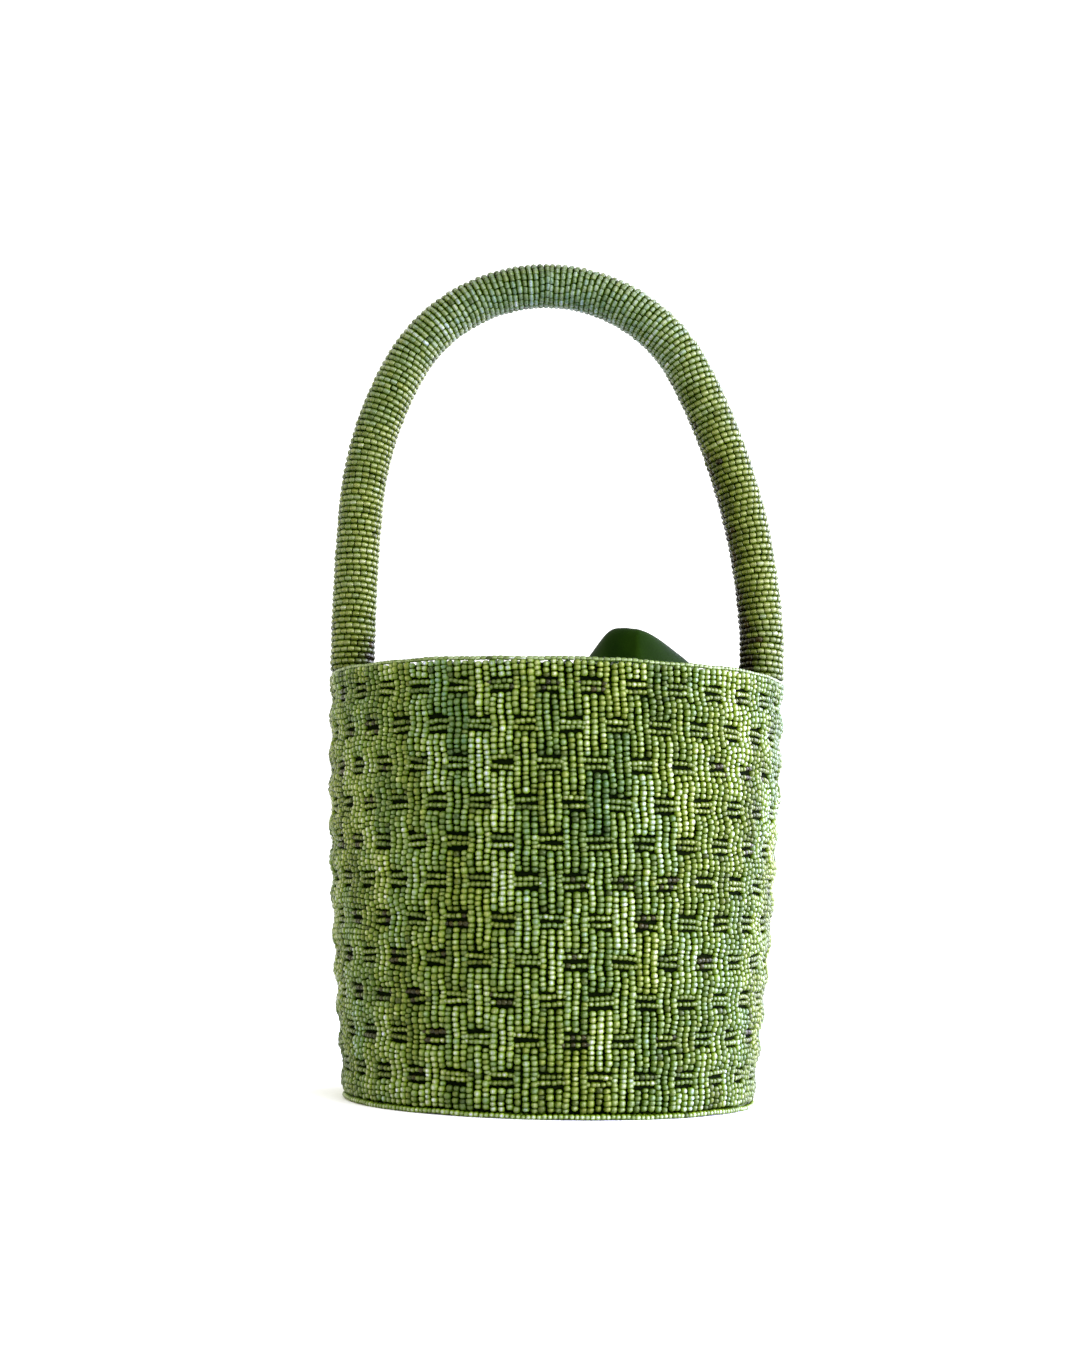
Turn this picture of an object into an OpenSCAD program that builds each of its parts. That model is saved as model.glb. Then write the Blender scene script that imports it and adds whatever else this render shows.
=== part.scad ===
// Small beaded bucket bag with a stiff arched handle and a satin drawstring collar.
// Origin: centre of the base, on the floor. +Z up. The handle arch stands in the XZ plane.

/* [Bucket] */
// Outer radius of the beadwork at the rim
top_r = 80.5; // [78:0.5:86]
// Height of the rim over the floor
rim_h = 147; // [135:1:160]
// Radius of the long curve that the side follows from the rim down to the base
side_curve_r = 1230; // [1100:10:2500]
// Height of the rounded corner at the foot of the side
corner_h = 3; // [2.6:0.1:3.4]

/* [Layers] */
// Thickness of the layer of glass beads
bead_t = 2.2; // [2:0.1:2.6]
// Thickness of the canvas that the beads are sewn to
backing_t = 0.5; // [0.4:0.1:0.6]
// Thickness of the stiffening board of the side
board_t = 1.2; // [1:0.1:1.4]
// Thickness of the stiffening board of the base
base_board_t = 2; // [1.5:0.5:3]
// Thickness of the satin
satin_t = 0.5; // [0.4:0.1:0.6]

/* [Basket weave] */
// Number of crossbar rows up the side
crossbar_rows = 11; // [9:1:11]
// Distance between crossbar rows
crossbar_pitch = 12.55; // [12.3:0.05:12.7]
// Height of the lowest crossbar row over the floor
crossbar_first = 12.5; // [12:0.5:14]
// Height of one crossbar, which is two strands of beads
crossbar_h = 4.6; // [4:0.1:5]

/* [Handle] */
// Outer radius of the beaded tube
handle_r = 8.1; // [7.6:0.1:8.4]
// Distance of each root's centre from the middle of the bag
root_x = 73.1; // [72.7:0.1:73.1]
// Height of the tube's centre line at the crown, over the rim
handle_rise = 144.4; // [138:0.2:150]
// Sideways offset of the crown from the middle of the bag
crown_shift = -5.6; // [-7:0.1:0]
// Radius of the crown's centre line
crown_r = 58.3; // [56:0.1:60]
// Radius of the stiff core
core_r = 1.6; // [1.4:0.1:1.6]

/* [Handle roots] */
// Gap between the rim and the end of the beaded tube
root_gap = 1.6; // [1.6:0.1:2.5]
// Height of the flexing line over the end of the tube
flex_h = 3.5; // [3:0.1:4]
// Width of the webbing tab that is sewn inside the side
tab_w = 8; // [7:0.5:8]
// Thickness of the webbing
tab_t = 1.2; // [1:0.1:1.2]
// How far the tab reaches down inside the side
tab_depth = 35; // [25:5:45]

/* [Collar] */
// Radius of the gathered mouth of the satin collar
mouth_r = 34; // [32:1:38]
// Height of the slack mouth over the rim
mouth_h = 2; // [1:0.5:4]
// How much higher the satin stands in its one tall fold
fold_h = 20.5; // [12:0.5:22]
// How far right of the middle the tall fold stands
fold_x = 26; // [20:1:30]
// How far behind the middle the tall fold stands
fold_y = 37; // [34:1:40]
// Half length of the tall fold
fold_length = 16; // [12:1:18]
// Half thickness of the tall fold
fold_depth = 7.5; // [6:0.5:9]

/* [Hidden] */
$fn = 96;

slack = 0.1;                     // room between layers that are sewn together
edge_bead_r = bead_t / 2;        // radius of the single rows of beads along the edges
side_steps = 12;                 // straight stretches in the profile of the side

// Heights where the profile of the side turns, each with the side's radius there
side_knots = [
    for (i = [0:side_steps])
        let (z = rim_h * i / side_steps)
        [z, top_r - pow(rim_h - z, 2) / (2 * side_curve_r)],
];

// Radius of the outside of the side at height z
function side_r(z) = lookup(z, side_knots);

// How far each layer of the side lies inside the outside of the beadwork
backing_in = bead_t;
board_in = backing_in + backing_t;

// Layers of the base, from the floor up
backing_z = bead_t;
base_board_z = backing_z + backing_t;
base_top = base_board_z + base_board_t;
base_lining_z = base_top + slack;
lining_floor = base_lining_z + satin_t;
base_r = side_r(corner_h) - bead_t;

// The lining hangs loose inside the tabs
tab_x = root_x + core_r + slack / 2;
lining_gap = 0.9;                // between the tabs and the lining
lining_r = tab_x - lining_gap;
lining_in = top_r - lining_r;
binding_t = 0.6;
binding_depth = 9;
binding_r = lining_r - satin_t - slack / 2;
wall_top = rim_h - 2 * edge_bead_r;

// Colours
mint = [0.62, 0.71, 0.50];
sage = [0.52, 0.60, 0.38];
olive = [0.42, 0.48, 0.22];
canvas_green = [0.10, 0.15, 0.05];
board_grey = [0.62, 0.60, 0.55];
satin_green = [0.13, 0.30, 0.02];
satin_dark = [0.06, 0.18, 0.02];
webbing_green = [0.16, 0.20, 0.10];
thread_green = [0.35, 0.42, 0.22];
core_grey = [0.45, 0.46, 0.47];
foam_cream = [0.86, 0.83, 0.74];

// ---- Bucket ----

// A layer of the side from height z0 to z1: t thick, and depth inside the outside of the beadwork
module side_layer(depth, t, z0, z1) {
    turns = [for (knot = side_knots) if (knot[0] > z0 && knot[0] < z1) knot[0]];
    heights = concat([z0], turns, [z1]);
    n = len(heights) - 1;
    outside = [for (z = heights) [side_r(z) - depth, z]];
    inside = [for (i = [n:-1:0]) [side_r(heights[i]) - depth - t, heights[i]]];
    rotate_extrude() polygon(concat(outside, inside));
}

// A ring of rectangular section
module band(r_out, r_in, z0, z1) {
    rotate_extrude() translate([r_in, z0]) square([r_out - r_in, z1 - z0]);
}

// A ring of round section
module bead_ring(r, z) {
    rotate_extrude() translate([r, z]) circle(r = edge_bead_r);
}

// The crossbars, or with room = slack the grooves that they lie in; both run on behind the beadwork
module crossbar_bands(room) {
    half_h = crossbar_h / 2 + room;
    for (i = [0:crossbar_rows - 1]) {
        z = crossbar_first + i * crossbar_pitch;
        r_out = side_r(z) - bead_t / 2 + room / 2;
        band(r_out, r_out - bead_t, z - half_h, z + half_h);
    }
}

// Vertical strands of beads in sets of three, which pass over the crossbars
module wall_beadwork() {
    foot = side_r(corner_h);
    foot_z = 2 * edge_bead_r;
    foot_inset = corner_h / 8;
    color(sage) difference() {
        union() {
            side_layer(0, bead_t, corner_h, wall_top);
            rotate_extrude() polygon([
                [side_r(foot_z) - bead_t, foot_z],
                [foot - foot_inset, foot_z],
                [foot, corner_h],
                [foot - bead_t, corner_h],
            ]);
        }
        crossbar_bands(slack);
    }
}

// Pairs of strands that run round the side, inside the vertical ones
module crossbar_strands() {
    color(olive) difference() {
        crossbar_bands(0);
        side_layer(backing_in, 2 * bead_t, corner_h, wall_top);
    }
}

module wall_backing() {
    color(canvas_green) side_layer(backing_in, backing_t, backing_z, wall_top);
}

module wall_board() {
    color(board_grey) side_layer(board_in, board_t, base_top, wall_top);
}

// Single row of beads along the rim
module rim_edge_beads() {
    color(mint) bead_ring(top_r - edge_bead_r, rim_h - edge_bead_r);
}

// Satin tape folded over the top of the side, slotted where the tabs come out
module rim_binding() {
    outer_r = top_r - bead_t - slack / 2;
    color(satin_dark) difference() {
        union() {
            band(outer_r, binding_r - binding_t, wall_top, wall_top + binding_t);
            band(binding_r, binding_r - binding_t, rim_h - binding_depth, wall_top + binding_t);
        }
        for (side = [-1, 1])
            tab_block(side, rim_h - tab_depth, rim_h, tab_w, 2 * slack);
    }
}

module base_beadwork() {
    color(sage) cylinder(r = base_r - 2 * edge_bead_r + bead_t - slack, h = bead_t);
}

// Single row of pale beads along the bottom edge
module base_edge_beads() {
    color(mint) bead_ring(base_r + bead_t - edge_bead_r, edge_bead_r);
}

module base_backing() {
    color(canvas_green) translate([0, 0, backing_z])
        cylinder(r = side_r(backing_z) - board_in - slack, h = backing_t);
}

module base_board() {
    color(board_grey) translate([0, 0, base_board_z])
        cylinder(r = side_r(base_board_z) - board_in - slack, h = base_board_t);
}

module wall_lining() {
    color(satin_green) side_layer(lining_in, satin_t, lining_floor, wall_top - slack);
}

module base_lining() {
    color(satin_green) translate([0, 0, base_lining_z])
        cylinder(r = side_r(lining_floor) - lining_in, h = satin_t);
}

// ---- Satin collar ----

collar_t = 0.8;
collar_r = binding_r - binding_t - slack;   // where the collar is sewn in
collar_start = rim_h - binding_depth;
turn_depth = 3;                             // how far under the rim it turns inward
collar_turn = rim_h - turn_depth;
flat_share = 0.3;                           // share of the way in that it runs level
held_share = 0.1;                           // share near the seam that cannot stand up
shoulder_share = 0.47;                      // height of the shoulder beside the tall fold
shoulder_x = 24;                            // how far right of the tall fold it lies
shoulder_w = 12;
collar_rings = 72;
collar_steps = 12;
hem_r = 2;
cord_r = 1;
hem_sides = 8;

// 0 up to x = a, and from there a smooth rise to 1 at x = 1
function rise(x, a) = let (u = max(0, (x - a) / (1 - a))) u * u * (3 - 2 * u);

// Extra height of the satin over a point of the plan: the tall fold, and the low shoulder on its right
function fold(x, y) =
    let (
        crest = exp(-pow(abs(x - fold_x) / fold_length, 4)),
        shoulder = shoulder_share * exp(-pow((x - fold_x - shoulder_x) / shoulder_w, 2))
    ) fold_h * (crest + shoulder) * exp(-pow((y - fold_y) / fold_depth, 2));

// Middle of the satin in direction a, from the seam at s = 0 to the mouth at s = 1
function collar_point(a, s) =
    let (
        r = collar_r - collar_t / 2 - (collar_r - mouth_r) * s,
        x = r * cos(a),
        y = r * sin(a),
        held = exp(-pow(s / held_share, 2)),
        slope = (turn_depth + mouth_h) * rise(s, flat_share)
    ) [x, y, collar_turn + slope + (1 - held) * fold(x, y)];

// Turns n stacked loops, each of m points, into a closed tube
function tube_faces(n, m) = [
    for (i = [0:n - 1], j = [0:m - 1])
        let (i2 = (i + 1) % n, j2 = (j + 1) % m)
        each [
            [i * m + j, i2 * m + j2, i2 * m + j],
            [i * m + j, i * m + j2, i2 * m + j2],
        ],
];

// Section of the collar in direction a: up the outer face and back down the inner one
function collar_section(a) =
    let (
        base = [for (s = [0, 1]) [cos(a), sin(a), 0] * (collar_r - s * collar_t)],
        low = [0, 0, collar_start],
        lift = [0, 0, collar_t / 2]
    ) concat(
        [base[0] + low],
        [for (k = [0:collar_steps]) collar_point(a, k / collar_steps) + lift],
        [for (k = [collar_steps:-1:1]) collar_point(a, k / collar_steps) - lift],
        [base[1] + [0, 0, collar_turn - collar_t]],
        [base[1] + low]
    );

module pouch_collar() {
    sections = [for (i = [0:collar_rings - 1]) collar_section(i * 360 / collar_rings)];
    color(satin_green) polyhedron(
        points = [for (section = sections) each section],
        faces = tube_faces(collar_rings, len(sections[0])),
        convexity = 6
    );
}

// A round ring that follows the edge of the mouth
module mouth_ring(r) {
    points = [
        for (i = [0:collar_rings - 1])
            let (
                a = i * 360 / collar_rings,
                edge = collar_point(a, 1),
                out = [cos(a), sin(a), 0]
            )
            for (j = [0:hem_sides - 1])
                let (t = j * 360 / hem_sides)
                edge - out * (hem_r + slack - r * cos(t)) + [0, 0, r * sin(t)]
    ];
    polyhedron(points = points, faces = tube_faces(collar_rings, hem_sides), convexity = 6);
}

// Sewn channel round the mouth, hollow for the cord
module collar_hem() {
    color(satin_dark) difference() {
        mouth_ring(hem_r);
        mouth_ring(cord_r + slack);
    }
}

module drawcord() {
    color(thread_green) mouth_ring(cord_r);
}

// ---- Handle ----

break_1 = 62;                       // angle from the crown where the shoulder starts
break_2 = 86.6;                     // angle from the crown where the leg starts
root_z = rim_h + root_gap;          // lower end of the beaded tube
root_h = 12;                        // height of the straight root
leg_z = root_z + root_h;            // where the arch starts
flex_z = root_z + flex_h;           // height of the line where the webbing flexes
arch_h = rim_h + handle_rise - leg_z;
end_round = 2;                      // rounding of the beadwork at the end of the tube
layer_t = 0.5;
sleeve_r = handle_r - bead_t + slack;
padding_r = sleeve_r - layer_t - slack;
strap_h = 20;                       // how far the webbing reaches up into the handle
strap_top = root_z + strap_h;
flex_gap = 0.8;                     // bare webbing on each side of the flexing line
tube_sides = 16;

// Radii [shoulder, leg] that join a crown of radius crown_r to an upright root w to the side
function side_radii(w) =
    let (
        a = sin(break_2) - sin(break_1),
        b = 1 - sin(break_2),
        c = cos(break_1) - cos(break_2),
        d = cos(break_2),
        e = w - crown_r * sin(break_1),
        f = arch_h - crown_r * (1 - cos(break_1)),
        det = a * d - b * c
    ) [(e * d - b * f) / det, (a * f - c * e) / det];

// Centre line from a crown at x = 0 to a root at x = w: the point where its normal leans by angle t
function arch_point(w, t) =
    let (
        radii = side_radii(w),
        c1 = [0, leg_z + arch_h - crown_r],
        c2 = c1 - (radii[0] - crown_r) * [sin(break_1), cos(break_1)],
        c3 = c2 - (radii[1] - radii[0]) * [sin(break_2), cos(break_2)],
        n = [sin(t), cos(t)]
    ) t <= break_1 ? c1 + crown_r * n : t <= break_2 ? c2 + radii[0] * n : c3 + radii[1] * n;

// Leans of the rings that each side of the arch is built from, from the crown down
ring_leans = concat(
    [for (i = [1:10]) break_1 * i / 10],
    [for (i = [1:6]) break_1 + (break_2 - break_1) * i / 6],
    [for (i = [1:3]) break_2 + (90 - break_2) * i / 3]
);

// A ring is [x, z, lean, inset], where inset makes it smaller than the tube
function side_rings(side) = [
    for (t = ring_leans)
        let (p = arch_point(root_x - side * crown_shift, t))
        [crown_shift + side * p[0], p[1], side * t, 0],
];

// Rings of the straight root, from its top down to its rounded end
function root_rings(side, rounded) = rounded ? [
    for (t = [0:30:90])
        [side * root_x, root_z + end_round * (1 - sin(t)), side * 90, end_round * (1 - cos(t))],
] : [[side * root_x, root_z, side * 90, 0]];

// All rings from the left root over the crown to the right one
function arch_rings(with_root, rounded) =
    let (
        left = concat(side_rings(-1), with_root ? root_rings(-1, rounded) : []),
        right = concat(side_rings(1), with_root ? root_rings(1, rounded) : []),
        n = len(left) - 1
    ) concat(
        [for (i = [n:-1:0]) left[i]],
        [[crown_shift, leg_z + arch_h, 0, 0]],
        right
    );

// A solid tube of radius r swept through the rings
module swept_tube(rings, r) {
    n = len(rings);
    m = tube_sides;
    points = [
        for (ring = rings, j = [0:m - 1])
            let (
                a = j * 360 / m,
                out = (r - ring[3]) * cos(a)
            ) [ring[0] + out * sin(ring[2]), (r - ring[3]) * sin(a), ring[1] + out * cos(ring[2])],
    ];
    walls = [
        for (i = [0:n - 2], j = [0:m - 1])
            let (j2 = (j + 1) % m)
            each [
                [i * m + j, (i + 1) * m + j2, (i + 1) * m + j],
                [i * m + j, i * m + j2, (i + 1) * m + j2],
            ],
    ];
    caps = [
        [for (j = [m - 1:-1:0]) j],
        [for (j = [0:m - 1]) (n - 1) * m + j],
    ];
    polyhedron(points = points, faces = concat(walls, caps), convexity = 6);
}

// A layer of the handle that starts where the straight root ends
module handle_layer(r_out, r_in) {
    rings = arch_rings(false, false);
    difference() {
        swept_tube(rings, r_out);
        swept_tube(rings, r_in);
    }
}

// Webbing beside the core of a root: side is -1 for left and 1 for right
module tab_block(side, z0, z1, w, room) {
    x0 = tab_x - room;
    x1 = tab_x + tab_t + room;
    translate([side > 0 ? x0 : -x1, -w / 2 - room, z0]) cube([x1 - x0, w + 2 * room, z1 - z0]);
}

module tab(side) {
    color(webbing_green) tab_block(side, rim_h - tab_depth, flex_z - flex_gap, tab_w, 0);
}

module handle_tab_left() {
    tab(-1);
}

module handle_tab_right() {
    tab(1);
}

// Rows of thread that hold each tab to the board
module tab_stitching() {
    row_pitch = 5;
    thread_r = 0.3;
    rows = 6;
    margin = 3;                     // from the tab's lower end to the lowest row
    row_w = tab_w - 2;
    first = rim_h - tab_depth + margin;
    color(thread_green) for (side = [-1, 1], i = [0:rows - 1])
        translate([side * (tab_x - thread_r), 0, first + i * row_pitch])
            rotate([90, 0, 0]) cylinder(r = thread_r, h = row_w, center = true, $fn = 24);
}

// Upper half of the webbing, sewn into the handle beside the core
module strap(side) {
    color(webbing_green) tab_block(side, flex_z + flex_gap, strap_top, tab_w - 1, 0);
}

module handle_strap_left() {
    strap(-1);
}

module handle_strap_right() {
    strap(1);
}

module handle_core() {
    color(core_grey) swept_tube(arch_rings(false, false), core_r);
}

module handle_padding() {
    color(foam_cream) difference() {
        handle_layer(padding_r, core_r + slack / 2);
        for (side = [-1, 1])
            tab_block(side, root_z, strap_top + slack, tab_w - 1, slack);
    }
}

module handle_sleeve() {
    color(canvas_green) handle_layer(sleeve_r - slack / 2, padding_r + slack / 2);
}

// Rows of beads wound round the sleeve, rounded off at both ends
module handle_beadwork() {
    color(mint) difference() {
        swept_tube(arch_rings(true, true), handle_r);
        swept_tube(arch_rings(true, false), sleeve_r);
    }
}

wall_beadwork();
crossbar_strands();
wall_backing();
wall_board();
rim_edge_beads();
rim_binding();
base_beadwork();
base_edge_beads();
base_backing();
base_board();
wall_lining();
base_lining();
pouch_collar();
collar_hem();
drawcord();
handle_tab_left();
handle_tab_right();
tab_stitching();
handle_core();
handle_padding();
handle_sleeve();
handle_beadwork();
handle_strap_left();
handle_strap_right();
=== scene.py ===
"""A small beaded bucket bag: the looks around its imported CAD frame. Metres, +Z up, front towards -Y."""
import math

import bpy
import numpy as np
from mathutils import Matrix, Vector


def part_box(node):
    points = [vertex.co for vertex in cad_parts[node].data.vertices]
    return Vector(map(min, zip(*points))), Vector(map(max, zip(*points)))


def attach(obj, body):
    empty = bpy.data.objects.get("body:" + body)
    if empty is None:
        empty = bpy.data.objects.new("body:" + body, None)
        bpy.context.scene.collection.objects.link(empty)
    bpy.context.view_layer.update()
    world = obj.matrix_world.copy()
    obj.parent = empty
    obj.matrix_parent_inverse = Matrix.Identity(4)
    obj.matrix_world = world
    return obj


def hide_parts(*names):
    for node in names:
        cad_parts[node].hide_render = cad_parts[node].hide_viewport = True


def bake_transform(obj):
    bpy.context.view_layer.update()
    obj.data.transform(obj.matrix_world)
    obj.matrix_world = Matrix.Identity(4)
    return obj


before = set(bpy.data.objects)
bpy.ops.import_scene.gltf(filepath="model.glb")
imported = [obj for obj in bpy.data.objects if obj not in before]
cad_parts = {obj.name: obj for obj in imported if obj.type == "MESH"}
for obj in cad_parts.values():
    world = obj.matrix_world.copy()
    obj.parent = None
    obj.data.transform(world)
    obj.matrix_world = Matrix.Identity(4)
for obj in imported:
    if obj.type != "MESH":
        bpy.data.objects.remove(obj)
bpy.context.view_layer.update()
rng = np.random.default_rng(7)

# ---------------------------------------------------------------- sizes, from the frame
MM = 0.001
RIM_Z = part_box("rim_edge_beads")[1].z
TOP_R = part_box("wall_beadwork")[1].x
SIDE_CURVE_R = 1230 * MM            # radius of the long curve of the side
BACKING_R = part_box("wall_backing")[1].x
BEAD_T = TOP_R - BACKING_R          # thickness of the layer of beads
BASE_EDGE_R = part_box("base_edge_beads")[1].x
HANDLE_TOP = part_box("handle_beadwork")[1].z
TUBE_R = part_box("handle_beadwork")[1].y
SLEEVE_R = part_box("handle_sleeve")[1].y
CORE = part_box("handle_core")
CORE_R = CORE[1].y
ROOT_X = CORE[1].x - CORE_R         # where both roots stand, left and right of the middle
ARCH_Z = CORE[0].z                  # where the straight roots end and the arch starts
ARCH_H = HANDLE_TOP - TUBE_R - ARCH_Z
CROWN_X = -5.6 * MM                 # the crown lies a little left of the middle
CROWN_R = 58.3 * MM
BREAK_1 = math.radians(62)          # lean of the tube where the shoulder starts
BREAK_2 = math.radians(86.6)        # lean of the tube where the leg starts

SETS = 64                           # sets of three vertical strands round the side
COLUMNS = 3 * SETS
ROWS = 11                           # crossbar rows
ROW_FIRST = 12.5 * MM
ROW_PITCH = 12.55 * MM
GAP_H = 5.5 * MM                    # height of the gap in a set where a crossbar shows
FAN_FOOT = 0.13                     # how much wider the strands stand in front than on average, at the foot
FAN_RIM = -0.06                     # and at the rim, where they stand closer
STRAND_LEAN = math.radians(-3.2)    # turn of the strands from foot to rim, most of it near the rim
STRAND_PITCH = 1.8 * MM             # bead to bead along a strand
HANDLE_PITCH = 2.085 * MM           # row to row along the handle


def side_r(z):
    """Radius of the outside of the side at height z."""
    return TOP_R - (RIM_Z - z) ** 2 / (2 * SIDE_CURVE_R)


COLLAR_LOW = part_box("pouch_collar")[0].z
COLLAR_TURN = RIM_Z - 3 * MM        # where the satin turns inward, under the handle
COLLAR_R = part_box("pouch_collar")[1].x - 0.4 * MM
MOUTH_R = 34 * MM
MOUTH_Z = RIM_Z + 2 * MM
HEM_R = 2 * MM
CORD_R = 1 * MM                     # the drawcord, as thick as in the CAD
FOLD_H = 24.4 * MM                  # the one tall fold of the satin, behind and right of the middle
FOLD_X, FOLD_Y = 30 * MM, 36 * MM   # where its crest bends towards the front
LINING_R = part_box("wall_lining")[1].x
LINING_T = 0.5 * MM
FLOOR_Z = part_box("base_lining")[1].z
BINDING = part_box("rim_binding")


# ---------------------------------------------------------------- node helpers

def material(name):
    """A new material and its node tree, emptied down to a Principled shader."""
    made = bpy.data.materials.new(name)
    made.use_nodes = True
    return made, made.node_tree, made.node_tree.nodes["Principled BSDF"]


def node(tree, kind, **sockets):
    """A node with some of its sockets set, by name."""
    made = tree.nodes.new(kind)
    for name, value in sockets.items():
        made.inputs[name.replace("_", " ")].default_value = value
    return made


def ramp(tree, source, stops, interpolation="LINEAR"):
    """A colour ramp of (place, colour) stops, fed by a socket."""
    made = tree.nodes.new("ShaderNodeValToRGB")
    made.color_ramp.interpolation = interpolation
    elements = made.color_ramp.elements
    while len(elements) < len(stops):
        elements.new(0.5)
    for element, (place, colour) in zip(elements, stops):
        element.position = place
        element.color = (*colour, 1)
    tree.links.new(source, made.inputs["Fac"])
    return made.outputs["Color"]


def mixed(tree, kind, factor, a, b):
    """Two colours mixed; each of the three is a socket or a plain value."""
    made = tree.nodes.new("ShaderNodeMix")
    made.data_type = "RGBA"
    made.blend_type = kind
    for socket, value in (("Factor", factor), ("A", a), ("B", b)):
        inputs = [i for i in made.inputs if i.name == socket and i.enabled]
        if isinstance(value, bpy.types.NodeSocket):
            tree.links.new(value, inputs[0])
        else:
            inputs[0].default_value = value if socket == "Factor" else (*value, 1)
    return next(o for o in made.outputs if o.enabled)


def object_coords(tree, scale=(1, 1, 1)):
    """Coordinates in the object's own space, scaled."""
    coords = tree.nodes.new("ShaderNodeTexCoord")
    mapping = node(tree, "ShaderNodeMapping", Scale=scale)
    tree.links.new(coords.outputs["Object"], mapping.inputs["Vector"])
    return mapping.outputs["Vector"]


def noise(tree, vector, scale, detail):
    """Fractal noise over the coordinates, about 0 to 1."""
    made = node(tree, "ShaderNodeTexNoise", Scale=scale, Detail=detail)
    tree.links.new(vector, made.inputs["Vector"])
    return made.outputs["Fac"]


def bump(tree, shader, height, strength, distance):
    """Relief on a shader from a height socket."""
    made = node(tree, "ShaderNodeBump", Strength=strength, Distance=distance)
    tree.links.new(height, made.inputs["Height"])
    tree.links.new(made.outputs["Normal"], shader.inputs["Normal"])


# ---------------------------------------------------------------- materials

# Dyes of the glass by the bead's tone from 0 to 1: the yellow-green batch, and the cooler one mixed with it
OLIVE_DYES = [
    # The two lowest, brown stops colour the brown crossbar beads, and also the painted shade at the handle
    # roots.
    (0.00, (0.010, 0.004, 0.0005)),
    (0.06, (0.050, 0.030, 0.002)),
    (0.10, (0.040, 0.058, 0.002)),
    (0.35, (0.085, 0.125, 0.006)),
    (0.60, (0.155, 0.215, 0.024)),
    (0.80, (0.270, 0.345, 0.085)),
    (1.00, (0.430, 0.500, 0.270)),
]
COOL_DYES = [
    (0.00, (0.020, 0.045, 0.008)),
    (0.10, (0.026, 0.070, 0.012)),
    (0.35, (0.055, 0.130, 0.030)),
    (0.60, (0.115, 0.220, 0.075)),
    (0.80, (0.220, 0.345, 0.165)),
    (1.00, (0.390, 0.520, 0.350)),
]


# Painted light: each bead's flanks, towards its neighbours and the cloth, are painted dark and saturated as
# shade, and its crown, facing away from the cloth, is painted pale and milky as a highlight.
# Each colour multiplies the dye. It was chosen together with the lights, whose colours are below.
CROWN_HIGHLIGHT_FLANK_SHADE = [
    (0.0, (0.52, 0.64, 0.02)),
    (0.6, (0.70, 0.79, 0.12)),
    (0.84, (1.25, 1.10, 1.70)),
    (1.0, (2.65, 2.05, 6.20)),
]


def glass_material(name, gain, roughness=0.3):
    """Glossy dyed glass; each bead has its own tone and hue, with a painted highlight on its crown and painted
    shade on its flanks, and gain makes all of them lighter.
    """
    made, tree, shader = material(name)
    channels = []
    for attribute in ("tone", "hue", "crown"):
        reader = tree.nodes.new("ShaderNodeAttribute")
        reader.attribute_name = attribute
        channels.append(reader.outputs["Fac"])
    tone, hue, crown = channels
    olive, cool = (
        ramp(tree, tone, [(place, tuple(min(1, c * gain) for c in dye)) for place, dye in dyes])
        for dyes in (OLIVE_DYES, COOL_DYES)
    )
    dye = mixed(tree, "MIX", hue, olive, cool)
    streaks = ramp(tree, noise(tree, object_coords(tree), 900, 3), [(0.3, (0.75,) * 3), (0.7, (1.15,) * 3)])
    body = mixed(tree, "MULTIPLY", 1.0, dye, streaks)
    # From tone 0.2 down to 0.08 the painted crown highlight and flank shade fade out to a flat 0.7, so the
    # darkest beads get no pale crown.
    painted_light_share = ramp(tree, tone, [(0.08, (0, 0, 0)), (0.2, (1, 1, 1))])
    depth = mixed(tree, "MIX", painted_light_share, (0.7, 0.7, 0.7), ramp(tree, crown, CROWN_HIGHLIGHT_FLANK_SHADE))
    tree.links.new(mixed(tree, "MULTIPLY", 1.0, body, depth), shader.inputs["Base Color"])
    shader.inputs["Roughness"].default_value = roughness
    shader.inputs["IOR"].default_value = 1.52
    shader.inputs["Specular IOR Level"].default_value = 0.27
    shader.inputs["Specular Tint"].default_value = (0.9, 1.0, 0.55, 1)
    return made


def woven_material(name, dark, light, thread, roughness):
    """A plain weave of threads, thread metres apart, with worn and shaded patches."""
    made, tree, shader = material(name)
    vector = object_coords(tree)
    patches = noise(tree, vector, 45, 3)
    tree.links.new(ramp(tree, patches, [(0.3, dark), (0.7, light)]), shader.inputs["Base Color"])
    weave = []
    for direction in ("X", "Z"):
        wave = node(tree, "ShaderNodeTexWave", Scale=math.pi / 10 / thread, Distortion=0.6, Detail=1.0)
        wave.bands_direction = direction
        tree.links.new(vector, wave.inputs["Vector"])
        weave.append(wave.outputs["Fac"])
    crossing = node(tree, "ShaderNodeMath")
    crossing.operation = "MAXIMUM"
    tree.links.new(weave[0], crossing.inputs[0])
    tree.links.new(weave[1], crossing.inputs[1])
    bump(tree, shader, crossing.outputs["Value"], 0.5, 0.15 * thread)
    shader.inputs["Roughness"].default_value = roughness
    shader.inputs["Specular IOR Level"].default_value = 0.02
    return made


def satin_material(name, dark, light):
    """Smooth dyed satin: long floats that shine along one way, a little uneven in colour."""
    made, tree, shader = material(name)
    uneven = noise(tree, object_coords(tree), 32, 3)
    tree.links.new(ramp(tree, uneven, [(0.36, dark), (0.68, light)]), shader.inputs["Base Color"])
    floats = noise(tree, object_coords(tree, (1, 1, 0.12)), 2600, 2)
    bump(tree, shader, floats, 0.3, 0.00006)
    shader.inputs["Roughness"].default_value = 0.45
    shader.inputs["Specular IOR Level"].default_value = 0.05
    shader.inputs["Specular Tint"].default_value = (0.5, 0.9, 0.1, 1)
    return made


def plain_material(name, dark, light, scale, roughness):
    """A hard or matted stuff with fine mottling and grain."""
    made, tree, shader = material(name)
    grain = noise(tree, object_coords(tree), scale, 5)
    tree.links.new(ramp(tree, grain, [(0.3, dark), (0.7, light)]), shader.inputs["Base Color"])
    bump(tree, shader, grain, 0.4, 0.0001)
    shader.inputs["Roughness"].default_value = roughness
    return made


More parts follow.
